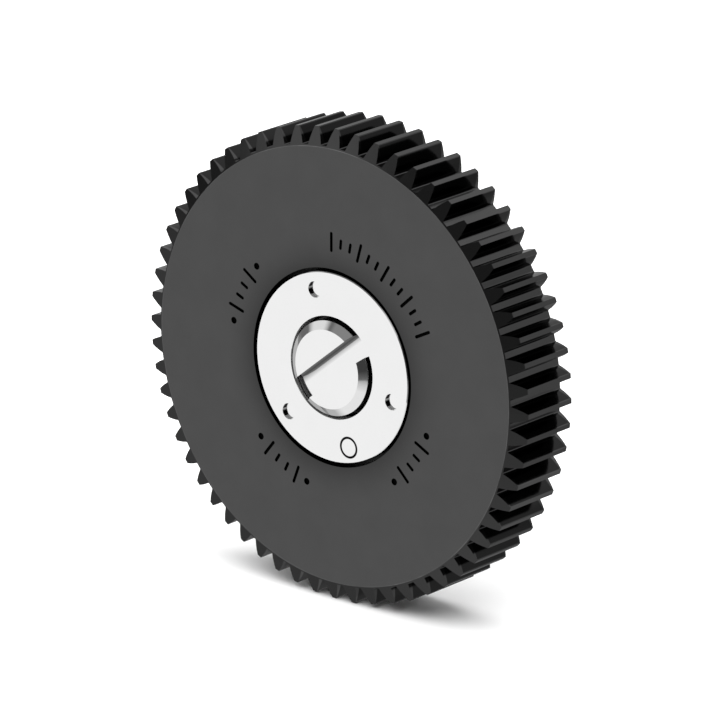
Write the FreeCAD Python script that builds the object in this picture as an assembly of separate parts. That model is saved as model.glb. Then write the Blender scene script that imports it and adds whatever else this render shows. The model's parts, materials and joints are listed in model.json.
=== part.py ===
"""Spur drive gear on a screw-fastened hub with a captive centre screw.

The gear's axis lies along Y. The front, with the slotted screw head, faces -Y and the side that
seats on the driving unit faces +Y. The origin is on the axis, at the middle of the tooth width.
Axial positions below are given as depths behind the front face of the wheel.
"""
import FreeCAD, Part
import math
import os

# ---- toothed wheel ----
MODULE = 0.8
TEETH = 60
PRESSURE_ANGLE = math.radians(20.0)
FACE_WIDTH = 8.0
PITCH_R = MODULE * TEETH / 2
TIP_R = PITCH_R + MODULE
ROOT_R = PITCH_R - 1.25 * MODULE
BASE_R = PITCH_R * math.cos(PRESSURE_ANGLE)
FLANK_THINNING = 0.06          # backlash allowance on each flank, measured on the pitch circle
ROOT_FILLET = 0.12
FLANK_STEPS = 6
TOOTH_PHASE = math.radians(5.553)   # angle from +X of the first tooth's middle
END_CHAMFER_R = 22.83          # radius where the end chamfers meet the flat faces
FRONT_TIP_SETBACK = 0.62       # how far the front chamfer sets the tooth tips back
BACK_TIP_SETBACK = 0.50

# ---- wheel's middle ----
FRONT_RECESS_R = 10.37
FRONT_RECESS_DEPTH = 3.4
WEB_BORE_R = 6.62
BACK_RECESS_R = 11.2
WEB_BACK = 6.4                 # depth of the web's back face
BACK_LIP = 0.25                # chamfer at the mouth of the back recess

# ---- hub ----
DISC_R = 9.95
DISC_EDGE = 0.08
BARREL_R = 6.6
RING_SEAT_R = 5.8
SPIGOT_R = 5.5
SPIGOT_END = 13.0
SPIGOT_CHAMFER = 0.4
HEAD_RECESS_R = 5.35
HEAD_RECESS_EDGE = 0.04
HEAD_RECESS_DEPTH = 5.4
SCREW_BORE_R = 2.55
CLIP_POCKET_R = 4.0
CLIP_POCKET_START = 10.4

# ---- fasteners on the bolt circle ----
CLAMP_CIRCLE_R = 8.1
CLAMP_ANGLES = [math.radians(105.7 + 120.0 * n) for n in range(3)]
TAPPED_R = 0.85
CLEARANCE_R = 1.1
CLAMP_SHANK_R = 1.0
CLAMP_HEAD_R = 1.9
CLAMP_HEAD_DEPTH = 1.05
CLAMP_SCREW_END = 0.36         # the screw ends stop this far behind the front face
CLAMP_END_EDGE = 0.05
CLAMP_HEX = 1.3                # width across flats of the hex socket
CLAMP_HEX_DEPTH = 0.7
RING_BORE_R = 5.85
RING_R = 11.0
RING_EDGE = 0.2
SUNK = 0.05                    # seats and screw heads stop this far short of the ring's back face

# ---- drive pin ----
PIN_BODY_R = 1.05              # the stretch pressed into the hub and the wheel
PIN_R = 1.0                    # the drive end behind the clamp ring
PIN_NECK_R = 0.8               # relief between them, inside the ring
PIN_NECK_START = 7.3
PIN_CIRCLE_R = 8.3
PIN_ANGLE = math.radians(-74.3)
PIN_END = 10.5
PIN_EDGE = 0.12
PIN_NOSE = 0.35

# ---- captive screw ----
HEAD_R = 4.955
HEAD_TOP_R = 4.13
HEAD_TOP = -0.77               # the head stands this far in front of the face
HEAD_CHAMFER_END = -0.22
HEAD_BACK = 1.9
BOSS_R = 3.3
BOSS_BACK = 3.9
SHANK_R = 2.5
GROOVE_R = 2.0
GROOVE_WIDTH = 0.6
GROOVE_START = 10.405
THREAD_R = 2.5
THREAD_END = 17.0
THREAD_CHAMFER = 0.5
SLOT_WIDTH = 2.47
SLOT_FLOOR = 0.65
SLOT_ANGLE = math.radians(38.8)
SLOT_OFFSET = -0.03

# ---- washer, spring and snap ring ----
WASHER_BORE_R = 2.75
WASHER_R = 5.1
WASHER_THICKNESS = 0.5
SPRING_R = 3.9
WIRE_R = 0.2
SPRING_TURNS = 4
STEPS_PER_TURN = 18
WIRE_SIDES = 6
SPRING_GAP = 0.02              # space left at each end of the spring
SNAP_BORE_R = 2.03
SNAP_R = 3.6
SNAP_THICKNESS = 0.55
SNAP_GAP_ANGLE = math.radians(44.0)

# ---- engraved index marks on the front face; angles in degrees from +X towards +Z ----
MARK_CIRCLE_R = 13.2
MARK_DEPTH = 0.18
STROKE = 0.34
TALL_MARK = 2.1
SHORT_MARK = 1.1
DOT_R = 0.36
SCALE_MARKS = 13
SCALE_START = 90.0
SCALE_STEP = 5.3
GROUP_MIDDLES = (154.0, -120.0, -36.0)
GROUP_STEP = 6.0
DOT_OFFSET = 15.5

OVERCUT = 1.0                  # cutting tools run this far past the faces they open
Y_AXIS = FreeCAD.Vector(0, 1, 0)
FRONT_Y = -FACE_WIDTH / 2


def vec(x, y, z):
    return FreeCAD.Vector(x, y, z)


def at_depth(depth):
    """The Y position of a plane this far behind the front face."""
    return FRONT_Y + depth


def cylinder(radius, start, end, x=0.0, z=0.0):
    """A cylinder along the axis between two depths."""
    return Part.makeCylinder(radius, end - start, vec(x, at_depth(start), z), Y_AXIS)


def turned(profile, x=0.0, z=0.0):
    """A solid of revolution about a line along Y, from (radius, depth) corners."""
    corners = [vec(r, at_depth(depth), 0) for r, depth in profile]
    face = Part.Face(Part.makePolygon(corners + corners[:1]))
    solid = face.revolve(vec(0, 0, 0), Y_AXIS, 360)
    solid.translate(vec(x, 0, z))
    return solid


def on_circle(radius, angle):
    """X and Z of a point on a circle about the axis."""
    return radius * math.cos(angle), radius * math.sin(angle)


def point(radius, angle):
    """A point in the plane of the wheel's front face."""
    x, z = on_circle(radius, angle)
    return vec(x, FRONT_Y, z)


def involute(angle):
    return math.tan(angle) - angle


def half_tooth_angle(radius):
    """Half of the angle that a tooth takes up at a radius."""
    standard = math.pi / (2 * TEETH) + involute(PRESSURE_ANGLE)
    return standard - FLANK_THINNING / PITCH_R - involute(math.acos(BASE_R / radius))


def flank(centre, side):
    """One involute flank as a spline, from the root fillet out to the tip."""
    foot = ROOT_R + ROOT_FILLET
    radii = [foot + (TIP_R - foot) * n / FLANK_STEPS for n in range(FLANK_STEPS + 1)]
    points = [point(r, centre + side * half_tooth_angle(r)) for r in radii]
    curve = Part.BSplineCurve()
    curve.interpolate(points)
    return curve, points[0], points[-1]


def root_fillet(flank_start, corner, floor_point):
    """A rounded corner between a flank and the root circle."""
    curve = Part.BezierCurve()
    curve.setPoles([flank_start, corner, floor_point])
    return curve.toShape()


def tooth_edges(centre):
    """The edges of one tooth and of the space that follows it, going from +X towards +Z."""
    pitch = 2 * math.pi / TEETH
    corner_angle = half_tooth_angle(ROOT_R)
    floor_start = corner_angle + ROOT_FILLET / ROOT_R
    rising, rising_root, rising_tip = flank(centre, -1)
    falling, falling_root, falling_tip = flank(centre, 1)
    _, next_root, _ = flank(centre + pitch, -1)
    land = Part.Arc(rising_tip, point(TIP_R, centre), falling_tip).toShape()
    floor_from = point(ROOT_R, centre + floor_start)
    floor_to = point(ROOT_R, centre + pitch - floor_start)
    floor = Part.Arc(floor_from, point(ROOT_R, centre + pitch / 2), floor_to).toShape()
    corner_after = point(ROOT_R, centre + corner_angle)
    corner_next = point(ROOT_R, centre + pitch - corner_angle)
    return [
        rising.toShape(),
        land,
        falling.toShape(),
        root_fillet(falling_root, corner_after, floor_from),
        floor,
        root_fillet(next_root, corner_next, floor_to),
    ]


def stroke_mark(radius, angle, length):
    """A straight engraved stroke with round ends that points at the wheel's centre."""
    half = length / 2 - STROKE / 2
    inner = cylinder(STROKE / 2, -OVERCUT, MARK_DEPTH, radius - half)
    outer = cylinder(STROKE / 2, -OVERCUT, MARK_DEPTH, radius + half)
    corner = vec(radius - half, at_depth(-OVERCUT), -STROKE / 2)
    bar = Part.makeBox(2 * half, OVERCUT + MARK_DEPTH, STROKE, corner)
    mark = inner.fuse([outer, bar])
    mark.rotate(vec(0, 0, 0), Y_AXIS, -math.degrees(angle))
    return mark


def dot_mark(radius, angle):
    x, z = on_circle(radius, angle)
    return cylinder(DOT_R, -OVERCUT, MARK_DEPTH, x, z)


def index_marks():
    """Plain engraved strokes and dots: one long scale, and three short groups spaced round the face."""
    marks = []
    for n in range(SCALE_MARKS):
        length = TALL_MARK if n % 3 == 0 else SHORT_MARK
        marks.append(stroke_mark(MARK_CIRCLE_R, math.radians(SCALE_START - SCALE_STEP * n), length))
    for middle in GROUP_MIDDLES:
        for n, length in enumerate((TALL_MARK, SHORT_MARK, SHORT_MARK, TALL_MARK)):
            marks.append(stroke_mark(MARK_CIRCLE_R, math.radians(middle + GROUP_STEP * (n - 1.5)), length))
        for side in (-1, 1):
            marks.append(dot_mark(MARK_CIRCLE_R, math.radians(middle + DOT_OFFSET * side)))
    return marks


def make_gear_wheel():
    edges = []
    for n in range(TEETH):
        edges += tooth_edges(TOOTH_PHASE + 2 * math.pi * n / TEETH)
    outline = Part.Wire(Part.__sortEdges__(edges))
    toothed = Part.Face(outline).extrude(vec(0, FACE_WIDTH, 0))
    reach = (TIP_R + OVERCUT - END_CHAMFER_R) / (TIP_R - END_CHAMFER_R)
    envelope = turned([
        (0, 0),
        (END_CHAMFER_R, 0),
        (TIP_R + OVERCUT, FRONT_TIP_SETBACK * reach),
        (TIP_R + OVERCUT, FACE_WIDTH - BACK_TIP_SETBACK * reach),
        (END_CHAMFER_R, FACE_WIDTH),
        (0, FACE_WIDTH),
    ])
    wheel = toothed.common(envelope)
    tools = [
        cylinder(FRONT_RECESS_R, -OVERCUT, FRONT_RECESS_DEPTH),
        cylinder(WEB_BORE_R, -OVERCUT, FACE_WIDTH + OVERCUT),
        cylinder(BACK_RECESS_R, WEB_BACK, FACE_WIDTH + OVERCUT),
        turned([
            (0, FACE_WIDTH - BACK_LIP),
            (BACK_RECESS_R, FACE_WIDTH - BACK_LIP),
            (BACK_RECESS_R + BACK_LIP, FACE_WIDTH),
            (BACK_RECESS_R + BACK_LIP, FACE_WIDTH + OVERCUT),
            (0, FACE_WIDTH + OVERCUT),
        ]),
        cylinder(PIN_BODY_R, 0.0, FACE_WIDTH, *on_circle(PIN_CIRCLE_R, PIN_ANGLE)),
    ]
    for angle in CLAMP_ANGLES:
        tools.append(cylinder(CLEARANCE_R, 0.0, FACE_WIDTH, *on_circle(CLAMP_CIRCLE_R, angle)))
    return wheel.cut(tools + index_marks())


def make_hub():
    hub = turned([
        (SCREW_BORE_R, HEAD_RECESS_DEPTH),
        (HEAD_RECESS_R, HEAD_RECESS_DEPTH),
        (HEAD_RECESS_R, HEAD_RECESS_EDGE),
        (HEAD_RECESS_R + HEAD_RECESS_EDGE, 0),
        (DISC_R - DISC_EDGE, 0),
        (DISC_R, DISC_EDGE),
        (DISC_R, FRONT_RECESS_DEPTH),
        (BARREL_R, FRONT_RECESS_DEPTH),
        (BARREL_R, WEB_BACK - SUNK),
        (RING_SEAT_R, WEB_BACK - SUNK),
        (RING_SEAT_R, FACE_WIDTH - SUNK),
        (SPIGOT_R, FACE_WIDTH - SUNK),
        (SPIGOT_R, SPIGOT_END - SPIGOT_CHAMFER),
        (SPIGOT_R - SPIGOT_CHAMFER, SPIGOT_END),
        (CLIP_POCKET_R, SPIGOT_END),
        (CLIP_POCKET_R, CLIP_POCKET_START),
        (SCREW_BORE_R, CLIP_POCKET_START),
    ])
    pin_x, pin_z = on_circle(PIN_CIRCLE_R, PIN_ANGLE)
    holes = [
        cylinder(PIN_BODY_R, -OVERCUT, FRONT_RECESS_DEPTH + OVERCUT, pin_x, pin_z),
    ]
    for angle in CLAMP_ANGLES:
        x, z = on_circle(CLAMP_CIRCLE_R, angle)
        holes.append(cylinder(TAPPED_R, -OVERCUT, FRONT_RECESS_DEPTH + OVERCUT, x, z))
    return hub.cut(holes)


def make_clamp_ring():
    ring = turned([
        (RING_BORE_R, WEB_BACK),
        (RING_R, WEB_BACK),
        (RING_R, FACE_WIDTH - RING_EDGE),
        (RING_R - RING_EDGE, FACE_WIDTH),
        (RING_BORE_R + RING_EDGE, FACE_WIDTH),
        (RING_BORE_R, FACE_WIDTH - RING_EDGE),
    ])
    pin_x, pin_z = on_circle(PIN_CIRCLE_R, PIN_ANGLE)
    holes = [cylinder(PIN_BODY_R, WEB_BACK - OVERCUT, FACE_WIDTH + OVERCUT, pin_x, pin_z)]
    for angle in CLAMP_ANGLES:
        x, z = on_circle(CLAMP_CIRCLE_R, angle)
        holes.append(cylinder(CLEARANCE_R, WEB_BACK - OVERCUT, FACE_WIDTH + OVERCUT, x, z))
        holes.append(countersink(x, z))
    return ring.cut(holes)


def countersink(x, z):
    """The seat of a clamp screw's head, open towards the back."""
    wide = CLAMP_HEAD_R + SUNK
    return turned([
        (0, FACE_WIDTH - CLAMP_HEAD_DEPTH),
        (CLAMP_SHANK_R, FACE_WIDTH - CLAMP_HEAD_DEPTH),
        (wide, FACE_WIDTH - CLAMP_HEAD_DEPTH + wide - CLAMP_SHANK_R),
        (wide, FACE_WIDTH + OVERCUT),
        (0, FACE_WIDTH + OVERCUT),
    ], x, z)


def hex_socket(x, z):
    """A hexagonal key socket, sunk into a clamp screw's head from the back."""
    corner_r = CLAMP_HEX / math.sqrt(3)
    start = at_depth(FACE_WIDTH - CLAMP_HEX_DEPTH)
    corners = []
    for n in range(7):
        turn = math.radians(60 * n)
        corners.append(vec(x + corner_r * math.cos(turn), start, z + corner_r * math.sin(turn)))
    return Part.Face(Part.makePolygon(corners)).extrude(vec(0, CLAMP_HEX_DEPTH + OVERCUT, 0))


def make_clamp_screw(angle):
    x, z = on_circle(CLAMP_CIRCLE_R, angle)
    cone = CLAMP_HEAD_R - CLAMP_SHANK_R
    screw = turned([
        (0, CLAMP_SCREW_END),
        (TAPPED_R - CLAMP_END_EDGE, CLAMP_SCREW_END),
        (TAPPED_R, CLAMP_SCREW_END + CLAMP_END_EDGE),
        (TAPPED_R, FRONT_RECESS_DEPTH),
        (CLAMP_SHANK_R, FRONT_RECESS_DEPTH),
        (CLAMP_SHANK_R, FACE_WIDTH - CLAMP_HEAD_DEPTH),
        (CLAMP_HEAD_R, FACE_WIDTH - CLAMP_HEAD_DEPTH + cone),
        (CLAMP_HEAD_R, FACE_WIDTH - SUNK),
        (0, FACE_WIDTH - SUNK),
    ], x, z)
    return screw.cut(hex_socket(x, z))


def make_drive_pin():
    x, z = on_circle(PIN_CIRCLE_R, PIN_ANGLE)
    return turned([
        (0, 0),
        (PIN_BODY_R - PIN_EDGE, 0),
        (PIN_BODY_R, PIN_EDGE),
        (PIN_BODY_R, PIN_NECK_START),
        (PIN_NECK_R, PIN_NECK_START),
        (PIN_NECK_R, FACE_WIDTH - SUNK),
        (PIN_R, FACE_WIDTH - SUNK),
        (PIN_R, PIN_END - PIN_NOSE),
        (PIN_R - PIN_NOSE, PIN_END),
        (0, PIN_END),
    ], x, z)


def make_captive_screw():
    groove_end = GROOVE_START + GROOVE_WIDTH
    screw = turned([
        (0, HEAD_TOP),
        (HEAD_TOP_R, HEAD_TOP),
        (HEAD_R, HEAD_CHAMFER_END),
        (HEAD_R, HEAD_BACK),
        (BOSS_R, HEAD_BACK),
        (BOSS_R, BOSS_BACK),
        (SHANK_R, BOSS_BACK),
        (SHANK_R, GROOVE_START),
        (GROOVE_R, GROOVE_START),
        (GROOVE_R, groove_end),
        (THREAD_R, groove_end),
        (THREAD_R, THREAD_END - THREAD_CHAMFER),
        (THREAD_R - THREAD_CHAMFER, THREAD_END),
        (0, THREAD_END),
    ])
    slot_length = 3 * HEAD_R
    corner = vec(-slot_length / 2, at_depth(HEAD_TOP - OVERCUT), SLOT_OFFSET - SLOT_WIDTH / 2)
    slot = Part.makeBox(slot_length, SLOT_FLOOR - HEAD_TOP + OVERCUT, SLOT_WIDTH, corner)
    slot.rotate(vec(0, 0, 0), Y_AXIS, -math.degrees(SLOT_ANGLE))
    return screw.cut(slot)


def make_thrust_washer():
    start = HEAD_RECESS_DEPTH - WASHER_THICKNESS
    return turned([
        (WASHER_BORE_R, start),
        (WASHER_R, start),
        (WASHER_R, HEAD_RECESS_DEPTH),
        (WASHER_BORE_R, HEAD_RECESS_DEPTH),
    ])


def spring_section(turns, first, rise):
    """The corners of the wire's section after a number of turns."""
    angle = 2 * math.pi * turns
    middle = at_depth(first) + rise * turns
    corners = []
    for n in range(WIRE_SIDES):
        side = 2 * math.pi * n / WIRE_SIDES
        radius = SPRING_R + WIRE_R * math.cos(side)
        corners.append(vec(radius * math.cos(angle), middle + WIRE_R * math.sin(side), radius * math.sin(angle)))
    return corners


def triangle(a, b, c):
    return Part.Face(Part.makePolygon([a, b, c, a]))


def make_screw_spring():
    """An open-ended coil of faceted wire: flat triangles between one section and the next."""
    first = HEAD_BACK + SPRING_GAP + WIRE_R
    last = HEAD_RECESS_DEPTH - WASHER_THICKNESS - SPRING_GAP - WIRE_R
    rise = (last - first) / SPRING_TURNS
    count = SPRING_TURNS * STEPS_PER_TURN
    sections = [spring_section(n / STEPS_PER_TURN, first, rise) for n in range(count + 1)]
    faces = []
    for here, there in zip(sections, sections[1:]):
        for n in range(WIRE_SIDES):
            after = (n + 1) % WIRE_SIDES
            faces.append(triangle(here[n], here[after], there[after]))
            faces.append(triangle(here[n], there[after], there[n]))
    for end in (sections[0], sections[-1]):
        faces.append(Part.Face(Part.makePolygon(end + end[:1])))
    spring = Part.makeSolid(Part.makeShell(faces))
    if spring.Volume < 0:
        spring.reverse()
    return spring


def make_retaining_ring():
    start = GROOVE_START + (GROOVE_WIDTH - SNAP_THICKNESS) / 2
    ring = cylinder(SNAP_R, start, start + SNAP_THICKNESS).cut(
        cylinder(SNAP_BORE_R, start - OVERCUT, start + SNAP_THICKNESS + OVERCUT))
    reach = 2 * SNAP_R
    y = at_depth(start - OVERCUT)
    half = SNAP_GAP_ANGLE / 2
    wedge_face = Part.Face(Part.makePolygon([
        vec(0, y, 0),
        vec(reach * math.sin(-half), y, -reach * math.cos(half)),
        vec(reach * math.sin(half), y, -reach * math.cos(half)),
        vec(0, y, 0),
    ]))
    return ring.cut(wedge_face.extrude(vec(0, SNAP_THICKNESS + 2 * OVERCUT, 0)))


def save(name, shape):
    """Check one piece and write it as its own STEP file."""
    solids = shape.Solids
    solid = solids[0] if len(solids) == 1 else shape
    print(name, "valid" if solid.isValid() else "NOT VALID", len(solids), "solid", round(solid.Volume, 2))
    solid.exportStep(os.path.join("parts", name + ".step"))


def main():
    os.makedirs("parts", exist_ok=True)
    save("gear_wheel", make_gear_wheel())
    save("hub", make_hub())
    save("clamp_ring", make_clamp_ring())
    for n, angle in enumerate(CLAMP_ANGLES, start=1):
        save("clamp_screw_" + str(n), make_clamp_screw(angle))
    save("drive_pin", make_drive_pin())
    save("captive_screw", make_captive_screw())
    save("thrust_washer", make_thrust_washer())
    save("screw_spring", make_screw_spring())
    save("retaining_ring", make_retaining_ring())


main()
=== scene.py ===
"""Looks of the drive gear: materials, a threaded captive screw, its spring, a pale studio and the camera."""
import json
import math

import bmesh
import bpy
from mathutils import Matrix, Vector


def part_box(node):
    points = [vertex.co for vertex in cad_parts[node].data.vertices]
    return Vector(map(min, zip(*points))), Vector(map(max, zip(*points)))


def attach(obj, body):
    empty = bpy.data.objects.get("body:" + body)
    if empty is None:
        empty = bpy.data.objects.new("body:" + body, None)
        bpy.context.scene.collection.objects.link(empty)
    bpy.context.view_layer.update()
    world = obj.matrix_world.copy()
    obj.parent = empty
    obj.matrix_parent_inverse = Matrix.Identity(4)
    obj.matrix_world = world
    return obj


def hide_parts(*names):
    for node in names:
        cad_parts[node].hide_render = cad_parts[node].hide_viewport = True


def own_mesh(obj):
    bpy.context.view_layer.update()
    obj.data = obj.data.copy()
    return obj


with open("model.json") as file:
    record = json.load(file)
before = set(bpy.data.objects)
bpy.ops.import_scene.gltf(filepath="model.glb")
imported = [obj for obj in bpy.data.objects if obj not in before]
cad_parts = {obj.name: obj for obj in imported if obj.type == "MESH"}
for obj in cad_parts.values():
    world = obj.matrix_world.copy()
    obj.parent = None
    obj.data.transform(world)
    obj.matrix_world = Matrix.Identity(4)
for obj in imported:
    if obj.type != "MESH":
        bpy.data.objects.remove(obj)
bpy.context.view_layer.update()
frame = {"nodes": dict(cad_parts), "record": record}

MM = 0.001

# ---- sizes taken from the frame ----
WHEEL_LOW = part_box("gear_wheel")[0]
SCREW_LOW, SCREW_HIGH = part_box("captive_screw")
PIN_LOW, PIN_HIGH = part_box("drive_pin")
PIN_CENTRE = (PIN_LOW + PIN_HIGH) / 2
PIN_R = (PIN_HIGH.x - PIN_LOW.x) / 2
FRONT_Y = WHEEL_LOW.y
FLOOR_Z = WHEEL_LOW.z
CLAMP_SCREWS = ("clamp_screw_1", "clamp_screw_2", "clamp_screw_3")

# ---- where the wheel's tone changes: (from, to) radii, and depths behind its front face ----
FACE_EDGE_R = 22.83 * MM         # where the flat face meets the chamfer on the tooth ends
# width of the painted highlight where the flat face meets the chamfer
EDGE_HIGHLIGHT_WIDTH = 0.06 * MM
CHAMFER_SLOPE = 0.315            # depth of that chamfer for each unit of radius
CHAMFER_REACH = 2.5 * MM
ON_SURFACE = 0.03 * MM           # how near a surface a point has to be to count as on it
# painted shade on the tooth flanks, deep between the teeth
SHADED_FLANK_RADII = (23.15 * MM, 24.7 * MM)
SHADED_FLANK_DEPTHS = (0.7 * MM, 7.4 * MM)
# painted shade on the face, darker towards the hub
HUB_SHADE_RADII = (10.3 * MM, 14.5 * MM)
MARK_RADII = (10.3 * MM, 15.3 * MM)
MARK_DEPTHS = (0.03 * MM, 0.08 * MM)
MARK_DEEPEST = 3.0 * MM

# ---- where the hub's tone changes, in the same way ----
# painted shade at the bottom of the bored recess
RECESS_SHADE_RADII = (2.0 * MM, 5.4 * MM)
RECESS_SHADE_DEPTHS = (0.8 * MM, 5.5 * MM)
# painted light on the recess's upper wall, with a painted dark line across it
UPPER_WALL_RADII = (5.25 * MM, 5.45 * MM)
UPPER_WALL_DEPTHS = (0.06 * MM, 1.3 * MM)
DARK_LINE_DEPTHS = (0.45 * MM, 0.58 * MM)
TAPPED_HOLE_R = 0.95 * MM
TAPPED_HOLE_DEPTHS = (0.04 * MM, 3.0 * MM)
PAINTED_BAND_HEIGHT = 0.75 * MM          # height of one band of painted shade and one of painted reflection in a tapped hole
JOINT_WIDTH = 0.1 * MM           # painted shade in the joint round the pin, on each side of its edge
PIN_RIM_WIDTH = 0.15 * MM        # the painted shade of the joint as it shows on the pin's own end
PIN_RIM_DEPTH = 0.3 * MM

# ---- clamp screws: the tip lies behind the wheel's front face, the socket is sunk in from the back ----
SCREW_TIP_DEPTH = 1.5 * MM       # the polished end lies in front of this
# painted shade in the hexagonal socket
SOCKET_R = 0.8 * MM
SOCKET_DEPTHS = (0.04 * MM, 1.2 * MM)

# ---- captive screw's head, with depths behind its top ----
SLOT_ANGLE = math.radians(38.8)
SLOT_OFFSET = -0.03 * MM         # of the slot's middle from the axis
SLOT_WIDTH = 2.47 * MM
SLOT_DEPTH = 1.44 * MM
SLOT_FLOOR_BAND = 0.1 * MM       # what lies this near the slot's floor counts as on it
SLOT_SHADE_WIDTH = 0.75 * MM
# painted shade on the side of the screw's head
SHADED_SIDE_RADII = (4.9 * MM, 5.1 * MM)
SHADED_SIDE_DEPTHS = (0.62 * MM, 2.6 * MM)


def grey(level):
    return (level, level, level)


POLISHED = grey(0.87)
# painted shade in the screw's slot
PAINTED_SLOT_SHADE = grey(0.2)
JOINT_SHADE = grey(0.01)


# ---------------------------------------------------------------- materials
def material(name, color, roughness, metallic=0.0):
    """A new Principled material, with its tree, shader and one shared object-space position."""
    mat = bpy.data.materials.new(name)
    mat.use_nodes = True
    tree = mat.node_tree
    shader = tree.nodes["Principled BSDF"]
    shader.inputs["Base Color"].default_value = (*color, 1.0)
    shader.inputs["Roughness"].default_value = roughness
    shader.inputs["Metallic"].default_value = metallic
    where = tree.nodes.new("ShaderNodeTexCoord").outputs["Object"]
    return mat, tree, shader, where


def node(tree, kind, **settings):
    """A new node of a kind, with its settings."""
    made = tree.nodes.new(kind)
    for key, value in settings.items():
        setattr(made, key, value)
    return made


def math_node(tree, operation, first, second=None):
    """One Math node. Each input is a socket or a number."""
    made = node(tree, "ShaderNodeMath", operation=operation)
    for socket, value in zip(made.inputs, (first, second)):
        if value is None:
            continue
        if isinstance(value, (int, float)):
            socket.default_value = value
        else:
            tree.links.new(value, socket)
    return made.outputs[0]


def noise(tree, where, scale, detail, roughness=0.6):
    made = node(tree, "ShaderNodeTexNoise")
    made.inputs["Scale"].default_value = scale
    made.inputs["Detail"].default_value = detail
    made.inputs["Roughness"].default_value = roughness
    tree.links.new(where, made.inputs["Vector"])
    return made.outputs["Fac"]


def ramp(tree, value, low, high, out_low, out_high):
    """Maps a value from one range to another, held at its ends."""
    made = node(tree, "ShaderNodeMapRange")
    for name, number in zip(("From Min", "From Max", "To Min", "To Max"), (low, high, out_low, out_high)):
        made.inputs[name].default_value = number
    tree.links.new(value, made.inputs["Value"])
    return made.outputs["Result"]


def mix_color(tree, factor, first, second):
    """The first colour where the factor is 0, the second where it is 1. Each is a socket or a colour."""
    made = node(tree, "ShaderNodeMix", data_type="RGBA")
    tree.links.new(factor, made.inputs["Factor"])
    for socket, value in ((made.inputs[6], first), (made.inputs[7], second)):
        if isinstance(value, tuple):
            socket.default_value = (*value, 1.0)
        else:
            tree.links.new(value, socket)
    return made.outputs[2]


def axis_radius(tree, where):
    """Distance from the gear's axis, and the position along it."""
    parts = node(tree, "ShaderNodeSeparateXYZ")
    tree.links.new(where, parts.inputs[0])
    x2 = math_node(tree, "MULTIPLY", parts.outputs["X"], parts.outputs["X"])
    z2 = math_node(tree, "MULTIPLY", parts.outputs["Z"], parts.outputs["Z"])
    return math_node(tree, "SQRT", math_node(tree, "ADD", x2, z2)), parts.outputs["Y"]


def add_bump(tree, shader, height, strength, distance):
    """Turns a height into fine relief on the surface."""
    bump = node(tree, "ShaderNodeBump")
    bump.inputs["Strength"].default_value = strength
    bump.inputs["Distance"].default_value = distance
    tree.links.new(height, bump.inputs["Height"])
    tree.links.new(bump.outputs["Normal"], shader.inputs["Normal"])


EDGE = 0.02 * MM                 # how softly a masked region of a material ends


def below(tree, value, high):
    """1 where a value lies below a limit, else 0."""
    return ramp(tree, value, high - EDGE, high + EDGE, 1.0, 0.0)


def between(tree, value, low, high):
    """1 where a value lies between two limits, else 0."""
    above = ramp(tree, value, low - EDGE, low + EDGE, 0.0, 1.0)
    return math_node(tree, "MULTIPLY", above, below(tree, value, high))


def masked(tree, *masks):
    """The product of several masks."""
    product = masks[0]
    for mask in masks[1:]:
        product = math_node(tree, "MULTIPLY", product, mask)
    return product


def patchy_highlight(tree, where):
    """Patchy breaks, for the painted highlight along an edge."""
    return ramp(tree, noise(tree, where, scale=420.0, detail=4.0), 0.35, 0.6, 0.25, 1.0)


def black_anodised():
    """Black hard-anodised aluminium: a dark satin mirror, faintly mottled, matt black in the engraving, with
    painted shade near the hub, on the chamfer and on the tooth flanks, and a painted highlight along the
    face's edge.
    """
    mat, tree, shader, where = material("black_anodised", grey(0.078), 0.15, 1.0)
    shader.inputs["Specular Tint"].default_value = (*grey(0.62), 1.0)
    radius, along = axis_radius(tree, where)
    depth = math_node(tree, "SUBTRACT", along, FRONT_Y)
    mottle = noise(tree, where, scale=260.0, detail=5.0)
    base = mix_color(tree, ramp(tree, mottle, 0.3, 0.7, 0.0, 1.0), grey(0.075), grey(0.081))

    # painted shade: the face grows darker towards the hub
    near_hub = ramp(tree, radius, *HUB_SHADE_RADII, 1.0, 0.0)
    painted_hub_shade = math_node(tree, "MULTIPLY", math_node(tree, "POWER", near_hub, 2.0), 0.5)
    base = mix_color(tree, painted_hub_shade, base, grey(0.02))

    past_edge = math_node(tree, "SUBTRACT", radius, FACE_EDGE_R)
    off_chamfer = math_node(tree, "SUBTRACT", depth, math_node(tree, "MULTIPLY", past_edge, CHAMFER_SLOPE))
    near_edge = between(tree, past_edge, 0.0, CHAMFER_REACH)
    on_chamfer = masked(tree, below(tree, off_chamfer, ON_SURFACE), near_edge)
    # painted shade: the chamfer is a little darker than the face
    base = mix_color(tree, on_chamfer, base, grey(0.062))

    # painted highlight: a thin, patchy light line where the face meets the chamfer
    rim_radii = FACE_EDGE_R - EDGE_HIGHLIGHT_WIDTH / 2, FACE_EDGE_R + EDGE_HIGHLIGHT_WIDTH / 2
    rim = masked(tree, between(tree, radius, *rim_radii), patchy_highlight(tree, where))
    base = mix_color(tree, rim, base, grey(0.17))

    # painted shade: the tooth flanks between the teeth are darker
    shaded_flank = masked(tree, between(tree, radius, *SHADED_FLANK_RADII), between(tree, depth, *SHADED_FLANK_DEPTHS))
    base = mix_color(tree, shaded_flank, base, grey(0.025))

    sunk = ramp(tree, depth, *MARK_DEPTHS, 0.0, 1.0)
    engraved = masked(tree, sunk, between(tree, radius, *MARK_RADII), below(tree, depth, MARK_DEEPEST))
    tree.links.new(mix_color(tree, engraved, base, grey(0.001)), shader.inputs["Base Color"])

    polish = noise(tree, where, scale=900.0, detail=3.0)
    tree.links.new(ramp(tree, polish, 0.25, 0.75, 0.11, 0.17), shader.inputs["Roughness"])
    add_bump(tree, shader, noise(tree, where, scale=5200.0, detail=2.0), strength=0.06, distance=0.01 * MM)
    return mat


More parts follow.
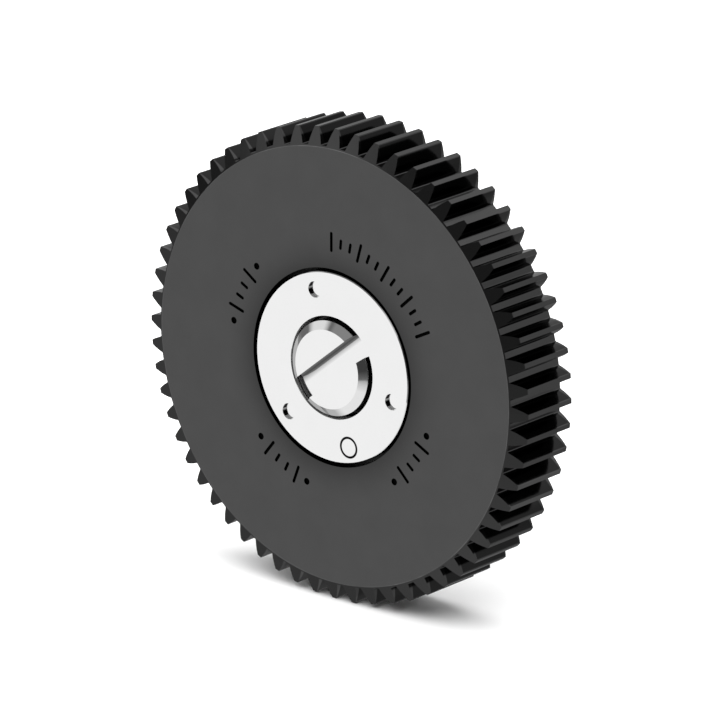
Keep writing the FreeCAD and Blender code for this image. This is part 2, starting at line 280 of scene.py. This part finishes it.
def turned_metal(name, color, roughness, groove_scale, groove_strength, patch_shade=0.96):
    """Turned steel: rings about the axis, with faint patches. Also gives what is needed to add to it."""
    mat, tree, shader, where = material(name, color, roughness, 1.0)
    radius, along = axis_radius(tree, where)
    path = math_node(tree, "ADD", radius, along)
    line = node(tree, "ShaderNodeCombineXYZ")
    tree.links.new(path, line.inputs[0])
    rings = noise(tree, line.outputs[0], groove_scale, detail=3.0, roughness=0.7)
    patches = noise(tree, where, scale=320.0, detail=3.0)
    darker = tuple(c * patch_shade for c in color)
    base = mix_color(tree, ramp(tree, patches, 0.3, 0.7, 0.0, 1.0), color, darker)
    tree.links.new(base, shader.inputs["Base Color"])
    tree.links.new(ramp(tree, rings, 0.3, 0.7, roughness * 0.8, roughness * 1.25), shader.inputs["Roughness"])
    add_bump(tree, shader, rings, groove_strength, distance=0.004 * MM)
    return mat, tree, shader, where, base


def polished_metal(name, roughness=0.07):
    return turned_metal(
        name, POLISHED, roughness, groove_scale=9000.0, groove_strength=0.03, patch_shade=0.985)


def change_roughness(tree, shader, operation, value):
    """Puts one more step between a shader's roughness and what feeds it."""
    socket = shader.inputs["Roughness"]
    before = socket.links[0].from_socket
    tree.links.new(math_node(tree, operation, before, value), socket)


def ring_about(tree, where, centre, low, high):
    """1 between two radii about a line along Y, else 0."""
    offset = node(tree, "ShaderNodeVectorMath", operation="SUBTRACT")
    tree.links.new(where, offset.inputs[0])
    offset.inputs[1].default_value = centre
    return between(tree, axis_radius(tree, offset.outputs[0])[0], low, high)


def disc_about(tree, where, centre, radius):
    """1 within a radius of a line along Y, else 0. The lower limit is under zero, so the middle counts."""
    return ring_about(tree, where, centre, -radius, radius)


def tapped_hole_bands(tree, where, depth, name):
    """Where one clamp screw's tapped hole is, and the bands on its wall: dark painted shade and bright
    painted reflection.
    """
    low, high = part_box(name)
    centre = (low + high) / 2
    hole = disc_about(tree, where, centre, TAPPED_HOLE_R)
    parts = node(tree, "ShaderNodeSeparateXYZ")
    tree.links.new(where, parts.inputs[0])
    height = math_node(tree, "SUBTRACT", parts.outputs["Z"], centre.z)
    wave = math_node(tree, "COSINE", math_node(tree, "MULTIPLY", height, 2 * math.pi / PAINTED_BAND_HEIGHT))
    # painted shade and painted reflection: dark and bright bands up the hole's wall
    thread = mix_color(tree, ramp(tree, wave, 0.3, 0.6, 0.0, 1.0), grey(0.005), grey(1.0))
    return masked(tree, hole, between(tree, depth, *TAPPED_HOLE_DEPTHS)), thread


def hub_steel():
    """Polished steel, with painted shade and painted light in the bored recess, bands of painted shade and
    painted reflection in the tapped holes, and painted shade round the pin.
    """
    mat, tree, shader, where, base = polished_metal("hub_steel")
    radius, along = axis_radius(tree, where)
    depth = math_node(tree, "SUBTRACT", along, FRONT_Y)
    # painted shade: the bored recess is dark at the bottom
    recess = masked(tree, between(tree, depth, *RECESS_SHADE_DEPTHS), between(tree, radius, *RECESS_SHADE_RADII))
    base = mix_color(tree, recess, base, grey(0.03))

    # painted light: the recess's upper wall is bright and rough, with a painted dark line across it
    lit_upper_wall = masked(
        tree, between(tree, depth, *UPPER_WALL_DEPTHS), between(tree, radius, *UPPER_WALL_RADII))
    line = between(tree, depth, *DARK_LINE_DEPTHS)
    base = mix_color(tree, lit_upper_wall, base, mix_color(tree, line, grey(0.95), grey(0.005)))
    change_roughness(tree, shader, "MAXIMUM", lit_upper_wall)

    for name in CLAMP_SCREWS:
        hole, thread = tapped_hole_bands(tree, where, depth, name)
        base = mix_color(tree, hole, base, thread)
    # painted shade in the gap round the pin
    joint = ring_about(tree, where, PIN_CENTRE, PIN_R - JOINT_WIDTH, PIN_R + JOINT_WIDTH)
    tree.links.new(mix_color(tree, joint, base, JOINT_SHADE), shader.inputs["Base Color"])
    return mat


def pin_steel():
    """Ground steel, with painted shade in the gap where the pin meets its hole."""
    mat, tree, shader, where, base = polished_metal("pin_steel", roughness=0.08)
    # painted shade in the gap round the pin's end
    rim = ring_about(tree, where, PIN_CENTRE, PIN_R - PIN_RIM_WIDTH, PIN_R + JOINT_WIDTH)
    depth = math_node(tree, "SUBTRACT", axis_radius(tree, where)[1], FRONT_Y)
    front_rim_shade = masked(tree, rim, below(tree, depth, PIN_RIM_DEPTH))
    tree.links.new(mix_color(tree, front_rim_shade, base, JOINT_SHADE), shader.inputs["Base Color"])
    return mat


def clamp_screw_steel(name):
    """Turned screw steel, with a polished end and painted shade in the hexagonal socket in the head."""
    low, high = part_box(name)
    mat, tree, shader, where, base = turned_metal(
        name + "_steel", grey(0.7), 0.2, groove_scale=7000.0, groove_strength=0.05)
    along = axis_radius(tree, where)[1]
    end = below(tree, math_node(tree, "SUBTRACT", along, FRONT_Y), SCREW_TIP_DEPTH)
    base = mix_color(tree, end, base, POLISHED)
    change_roughness(tree, shader, "MULTIPLY", ramp(tree, end, 0.0, 1.0, 1.0, 0.35))

    # painted shade in the hexagonal socket
    inside = disc_about(tree, where, (low + high) / 2, SOCKET_R)
    shallow, deep = SOCKET_DEPTHS
    socket = masked(tree, inside, between(tree, along, high.y - deep, high.y - shallow))
    tree.links.new(mix_color(tree, socket, base, grey(0.08)), shader.inputs["Base Color"])
    return mat


def across_slot(tree, where):
    """Distance from the middle of the screw's slot, positive towards its upper wall."""
    across = node(tree, "ShaderNodeVectorMath", operation="DOT_PRODUCT")
    tree.links.new(where, across.inputs[0])
    across.inputs[1].default_value = (-math.sin(SLOT_ANGLE), 0.0, math.cos(SLOT_ANGLE))
    return math_node(tree, "SUBTRACT", across.outputs["Value"], SLOT_OFFSET)


def screw_head_steel():
    """Polished steel, with painted shade on the slot's walls, in its upper corner and on the head's side."""
    mat, tree, shader, where, base = polished_metal("screw_head_steel")
    radius, along = axis_radius(tree, where)
    depth = math_node(tree, "SUBTRACT", along, SCREW_LOW.y)
    # painted shade on the side of the head
    side = masked(tree, between(tree, radius, *SHADED_SIDE_RADII), between(tree, depth, *SHADED_SIDE_DEPTHS))
    base = mix_color(tree, side, base, grey(0.015))

    from_middle = across_slot(tree, where)
    from_wall = math_node(tree, "SUBTRACT", math_node(tree, "ABSOLUTE", from_middle), SLOT_WIDTH / 2)
    # painted shade: the slot's walls are dark
    wall = below(tree, math_node(tree, "ABSOLUTE", from_wall), ON_SURFACE)
    base = mix_color(tree, masked(tree, wall, between(tree, depth, ON_SURFACE, SLOT_DEPTH)), base, PAINTED_SLOT_SHADE)

    # painted shade on the slot's floor along its upper wall
    corner = ramp(tree, from_middle, SLOT_WIDTH / 2 - SLOT_SHADE_WIDTH, SLOT_WIDTH / 2, 0.0, 0.95)
    on_floor = between(tree, depth, SLOT_DEPTH - SLOT_FLOOR_BAND, SLOT_DEPTH + SLOT_FLOOR_BAND)
    shaded = masked(tree, corner, on_floor)
    tree.links.new(mix_color(tree, shaded, base, PAINTED_SLOT_SHADE), shader.inputs["Base Color"])
    return mat


def drawn_wire():
    """Spring steel: dark, with a blotchy oiled finish."""
    mat, tree, shader, where = material("spring_steel", (0.35, 0.35, 0.36), 0.35, 1.0)
    patches = noise(tree, where, scale=1400.0, detail=4.0)
    shades = mix_color(tree, ramp(tree, patches, 0.3, 0.7, 0.0, 1.0), (0.42, 0.42, 0.43), (0.26, 0.26, 0.28))
    tree.links.new(shades, shader.inputs["Base Color"])
    tree.links.new(ramp(tree, patches, 0.3, 0.7, 0.28, 0.45), shader.inputs["Roughness"])
    return mat


MATERIALS = {
    "black_anodised": black_anodised(),
    "polished_steel": polished_metal("polished_steel")[0],
    "turned_steel": turned_metal(
        "turned_steel", (0.62, 0.61, 0.6), 0.28, groove_scale=5000.0, groove_strength=0.3)[0],
    "screw_steel": turned_metal("screw_steel", POLISHED, 0.1, groove_scale=7000.0, groove_strength=0.04)[0],
    "pin_steel": pin_steel(),
    "spring_steel": drawn_wire(),
}
SLOT_OF = {part["node"]: part["material_slot"] for part in frame["record"]["subparts"]}


def dress(obj, slot_name):
    """Gives an object the material of a slot in the record."""
    obj.data.materials.clear()
    obj.data.materials.append(MATERIALS[slot_name])


for name, cad in frame["nodes"].items():
    dress(cad, SLOT_OF[name])
frame["nodes"]["hub"].data.materials[0] = hub_steel()
for name in CLAMP_SCREWS:
    frame["nodes"][name].data.materials[0] = clamp_screw_steel(name)
SCREW_HEAD_STEEL = screw_head_steel()


# ---------------------------------------------------------------- captive screw's thread
THREAD_PITCH = 0.8 * MM
THREAD_R = 2.5 * MM
THREAD_DEPTH = 0.43 * MM
THREAD_LENGTH = 5.995 * MM
THREAD_ANGLES = 96
STATIONS_PER_PITCH = 20
LEAD_IN = 0.5 * MM
RUNOUT_PITCHES = 0.6             # the thread reaches its full depth over this many pitches
HEAD_OVERLAP = 0.02 * MM         # the head's piece runs this far into the thread's
WELD_DISTANCE = 0.0005 * MM


def thread_depth(phase):
    """Share of the thread's depth at a phase of one pitch: flat crest, flank, flat root, flank."""
    crest, flank, root = 0.14, 0.31, 0.24
    if phase < crest:
        return 0.0
    if phase < crest + flank:
        return (phase - crest) / flank
    if phase < crest + flank + root:
        return 1.0
    return (1.0 - phase) / (1.0 - crest - flank - root)


def thread_radius(along, turn, start):
    """Radius of the thread at a place along the axis and round it."""
    phase = ((along - start) / THREAD_PITCH - turn) % 1.0
    runout = min(1.0, (along - start) / (RUNOUT_PITCHES * THREAD_PITCH))
    radius = THREAD_R - THREAD_DEPTH * thread_depth(phase) * runout
    past_lead_in = max(0.0, along - (SCREW_HIGH.y - LEAD_IN))
    return min(radius, THREAD_R - past_lead_in)


def new_piece(name, mesh, slot_name, body, node_name):
    """Links a mesh as a piece that stands for a CAD node and rides on its body."""
    obj = bpy.data.objects.new(name, mesh)
    bpy.context.scene.collection.objects.link(obj)
    dress(obj, slot_name)
    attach(obj, body)
    if node_name:
        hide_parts(node_name)
    return obj


def smooth(mesh, sharp_degrees):
    """Shades a mesh smooth, apart from its sharp edges."""
    mesh.polygons.foreach_set("use_smooth", [True] * len(mesh.polygons))
    mesh.set_sharp_from_angle(angle=math.radians(sharp_degrees))


def tube_mesh(name, rings, sharp_degrees):
    """A closed mesh through a row of rings, each with the same number of places."""
    bm = bmesh.new()
    loops = [[bm.verts.new(place) for place in ring] for ring in rings]
    sides = len(loops[0])
    for here, there in zip(loops, loops[1:]):
        for n in range(sides):
            after = (n + 1) % sides
            bm.faces.new((here[n], there[n], there[after], here[after]))
    bm.faces.new(loops[0])
    bm.faces.new(loops[-1][::-1])
    bmesh.ops.recalc_face_normals(bm, faces=bm.faces)
    mesh = bpy.data.meshes.new(name)
    bm.to_mesh(mesh)
    bm.free()
    smooth(mesh, sharp_degrees)
    return mesh


def thread_mesh():
    """A closed threaded stud, from the snap ring's groove to the screw's end."""
    start = SCREW_HIGH.y - THREAD_LENGTH
    count = round(THREAD_LENGTH / THREAD_PITCH * STATIONS_PER_PITCH)
    rings = []
    for k in range(count + 1):
        along = start + THREAD_LENGTH * k / count
        ring = []
        for n in range(THREAD_ANGLES):
            turn = n / THREAD_ANGLES
            radius = thread_radius(along, turn, start)
            angle = 2 * math.pi * turn
            ring.append((radius * math.cos(angle), along, radius * math.sin(angle)))
        rings.append(ring)
    return tube_mesh("captive_screw_thread", rings, sharp_degrees=35.0)


def screw_head_mesh():
    """The CAD screw's head and shank, closed off where the thread starts."""
    cut = SCREW_HIGH.y - THREAD_LENGTH + HEAD_OVERLAP
    bm = bmesh.new()
    bm.from_mesh(frame["nodes"]["captive_screw"].data)
    bmesh.ops.remove_doubles(bm, verts=bm.verts, dist=WELD_DISTANCE)
    everything = bm.verts[:] + bm.edges[:] + bm.faces[:]
    split = bmesh.ops.bisect_plane(
        bm, geom=everything, plane_co=(0, cut, 0), plane_no=(0, 1, 0), clear_outer=True)
    rim = [e for e in split["geom_cut"] if isinstance(e, bmesh.types.BMEdge)]
    bmesh.ops.contextual_create(bm, geom=rim)
    bmesh.ops.recalc_face_normals(bm, faces=bm.faces)
    bm.verts.index_update()
    places = [v.co.copy() for v in bm.verts]
    faces = [[v.index for v in f.verts] for f in bm.faces]
    bm.free()
    mesh = bpy.data.meshes.new("captive_screw_head")
    mesh.from_pydata(places, [], faces)
    smooth(mesh, sharp_degrees=25.0)
    return mesh


def make_captive_screw():
    head = new_piece(
        "captive_screw_head", screw_head_mesh(), "polished_steel", "centre_screw", "captive_screw")
    head.data.materials[0] = SCREW_HEAD_STEEL
    new_piece("captive_screw_thread", thread_mesh(), "screw_steel", "centre_screw", None)


# ---------------------------------------------------------------- spring with closed ends
SPRING_LOW, SPRING_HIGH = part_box("screw_spring")
WIRE_R = 0.2 * MM
ACTIVE_TURNS = 3.0
END_TURNS = 0.75
DEAD_COIL_PITCH = 1.9 * WIRE_R
SPRING_STEPS = 40
WIRE_SIDES = 14


def spring_place(turn, total, low, high):
    """Position along the axis of the wire's middle, after so many turns."""
    dead_rise = DEAD_COIL_PITCH * END_TURNS
    if turn < END_TURNS:
        return low + dead_rise * turn / END_TURNS
    if turn > total - END_TURNS:
        return high - dead_rise * (total - turn) / END_TURNS
    return low + dead_rise + (high - low - 2 * dead_rise) * (turn - END_TURNS) / ACTIVE_TURNS


def spring_mesh():
    """Round wire with a flat dead coil at each end."""
    radius = SPRING_HIGH.x - WIRE_R
    low, high = SPRING_LOW.y + WIRE_R, SPRING_HIGH.y - WIRE_R
    total = ACTIVE_TURNS + 2 * END_TURNS
    count = round(total * SPRING_STEPS)
    rings = []
    for k in range(count + 1):
        turn = total * k / count
        along = spring_place(turn, total, low, high)
        angle = 2 * math.pi * turn
        ring = []
        for n in range(WIRE_SIDES):
            side = 2 * math.pi * n / WIRE_SIDES
            reach = radius + WIRE_R * math.cos(side)
            ring.append((reach * math.cos(angle), along + WIRE_R * math.sin(side), reach * math.sin(angle)))
        rings.append(ring)
    return tube_mesh("screw_spring_wire", rings, sharp_degrees=60.0)


def make_spring():
    spring = new_piece("screw_spring_wire", spring_mesh(), "spring_steel", "wheel_assembly", "screw_spring")
    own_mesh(spring)


make_captive_screw()
make_spring()


# ---------------------------------------------------------------- studio
FLOOR_SIZE = 6.0
FLOOR_GAP = 0.02 * MM            # the floor lies this far under the teeth
CEILING_ENERGY = 5.5
CEILING_SPREAD = math.radians(80)
CEILING_TILT = math.radians(14)  # off vertical
CEILING_TURN = math.radians(20)


def pale_floor():
    """A plain pale floor. The metal mirrors the studio, not the floor."""
    mat, tree, shader, where = material("pale_floor", grey(0.86), 0.6)
    cloud = noise(tree, where, scale=9.0, detail=2.0)
    tree.links.new(mix_color(tree, cloud, grey(0.85), grey(0.87)), shader.inputs["Base Color"])
    half = FLOOR_SIZE / 2
    mesh = bpy.data.meshes.new("floor")
    square = [(-half, -half, 0), (half, -half, 0), (half, half, 0), (-half, half, 0)]
    mesh.from_pydata(square, [], [(0, 1, 2, 3)])
    floor = bpy.data.objects.new("floor", mesh)
    bpy.context.scene.collection.objects.link(floor)
    floor.location = (0, 0, FLOOR_Z - FLOOR_GAP)
    floor.data.materials.append(mat)
    floor.visible_glossy = False


def ceiling_light():
    """An even light from a wide patch of the ceiling. The metal mirrors the softboxes, not this."""
    data = bpy.data.lights.new("ceiling_light", "SUN")
    data.angle = CEILING_SPREAD
    data.energy = CEILING_ENERGY
    light = bpy.data.objects.new("ceiling_light", data)
    bpy.context.scene.collection.objects.link(light)
    light.rotation_euler = (CEILING_TILT, 0, CEILING_TURN)
    light.visible_glossy = False


# softboxes round the object: direction, half angle in degrees of the full part, half angle at which
# the fading part ends, brightness
SOFTBOXES = [
    ((-0.62, -0.75, -0.25), 15, 25, 1.0),
    ((-0.66, -0.75, 0.10), 8, 18, 0.95),
    ((-0.82, -0.42, 0.40), 10, 22, 0.8),
    ((-0.20, -0.77, 0.60), 15, 28, 0.25),
    ((-0.94, -0.12, -0.33), 13, 23, 0.55),
    ((0.10, -0.42, -0.90), 25, 52, 0.88),
    ((0.47, -0.72, 0.50), 12, 24, 0.45),
    ((0.65, 0.73, 0.02), 22, 34, 0.6),
    ((-0.30, 0.75, 0.60), 35, 60, 1.0),
    ((0.62, -0.50, -0.58), 20, 28, 0.85),
    ((0.18, 0.73, -0.66), 10, 20, 0.8),
]
# black cards that keep light off the metal: the same, with the share of the light they stop
CARDS = [
    ((0.749, -0.658, -0.064), 27.3, 28.8, 0.68),
    ((-0.55, 0.73, -0.40), 10, 20, 0.4),
]
DIM_WALLS = 0.15
BOUNCE_FROM_BELOW = 0.5
BOUNCE_HEIGHTS = (-0.4, -0.15)   # upward part of the direction, over which the bounce fades out


def lobe(tree, direction, place, full, fade, strength):
    """Strength of one softbox or card in the direction that a ray leaves in."""
    facing = node(tree, "ShaderNodeVectorMath", operation="DOT_PRODUCT")
    tree.links.new(direction, facing.inputs[0])
    facing.inputs[1].default_value = Vector(place).normalized()
    edges = math.cos(math.radians(fade)), math.cos(math.radians(full))
    return ramp(tree, facing.outputs["Value"], *edges, 0.0, strength)


def studio():
    """A white backdrop. What the metal mirrors is a dim room with softboxes and black cards."""
    world = bpy.data.worlds.new("studio")
    bpy.context.scene.world = world
    world.use_nodes = True
    tree = world.node_tree
    background = tree.nodes["Background"]
    background.inputs["Strength"].default_value = 1.0
    direction = tree.nodes.new("ShaderNodeTexCoord").outputs["Generated"]
    height = node(tree, "ShaderNodeSeparateXYZ")
    tree.links.new(direction, height.inputs[0])
    light = ramp(tree, height.outputs["Z"], *BOUNCE_HEIGHTS, BOUNCE_FROM_BELOW, DIM_WALLS)
    for softbox in SOFTBOXES:
        light = math_node(tree, "MAXIMUM", light, lobe(tree, direction, *softbox))
    for card in CARDS:
        let_by = math_node(tree, "SUBTRACT", 1.0, lobe(tree, direction, *card))
        light = math_node(tree, "MULTIPLY", light, let_by)
    backdrop = node(tree, "ShaderNodeLightPath").outputs["Is Camera Ray"]
    light = math_node(tree, "MAXIMUM", light, backdrop)
    tree.links.new(light, background.inputs["Color"])


pale_floor()
studio()
ceiling_light()
bpy.context.scene.view_settings.view_transform = "Standard"


# ---------------------------------------------------------------- camera
VIEW_AZIMUTH = math.radians(40.21)
VIEW_ELEVATION = math.radians(17.75)
VIEW_DISTANCE = 639.2 * MM
LENS = 317.8
SENSOR_WIDTH = 36.0
CLIP_START = 0.01
AIM_RIGHT = 2.868 * MM           # the wheel's centre sits a little left of and below the middle
AIM_UP = 0.776 * MM


def make_camera():
    """The camera looks at a place beside the middle of the wheel's front face."""
    back = Vector((
        math.sin(VIEW_AZIMUTH) * math.cos(VIEW_ELEVATION),
        -math.cos(VIEW_AZIMUTH) * math.cos(VIEW_ELEVATION),
        math.sin(VIEW_ELEVATION),
    ))
    right = Vector((math.cos(VIEW_AZIMUTH), math.sin(VIEW_AZIMUTH), 0))
    up = back.cross(right)
    face_centre = Vector((0, FRONT_Y, 0))
    data = bpy.data.cameras.new("camera")
    data.lens = LENS
    data.sensor_width = SENSOR_WIDTH
    data.clip_start = CLIP_START
    camera = bpy.data.objects.new("camera", data)
    bpy.context.scene.collection.objects.link(camera)
    camera.location = face_centre + back * VIEW_DISTANCE
    aim = face_centre + right * AIM_RIGHT + up * AIM_UP
    camera.rotation_euler = (aim - camera.location).to_track_quat("-Z", "Y").to_euler()
    bpy.context.scene.camera = camera


make_camera()
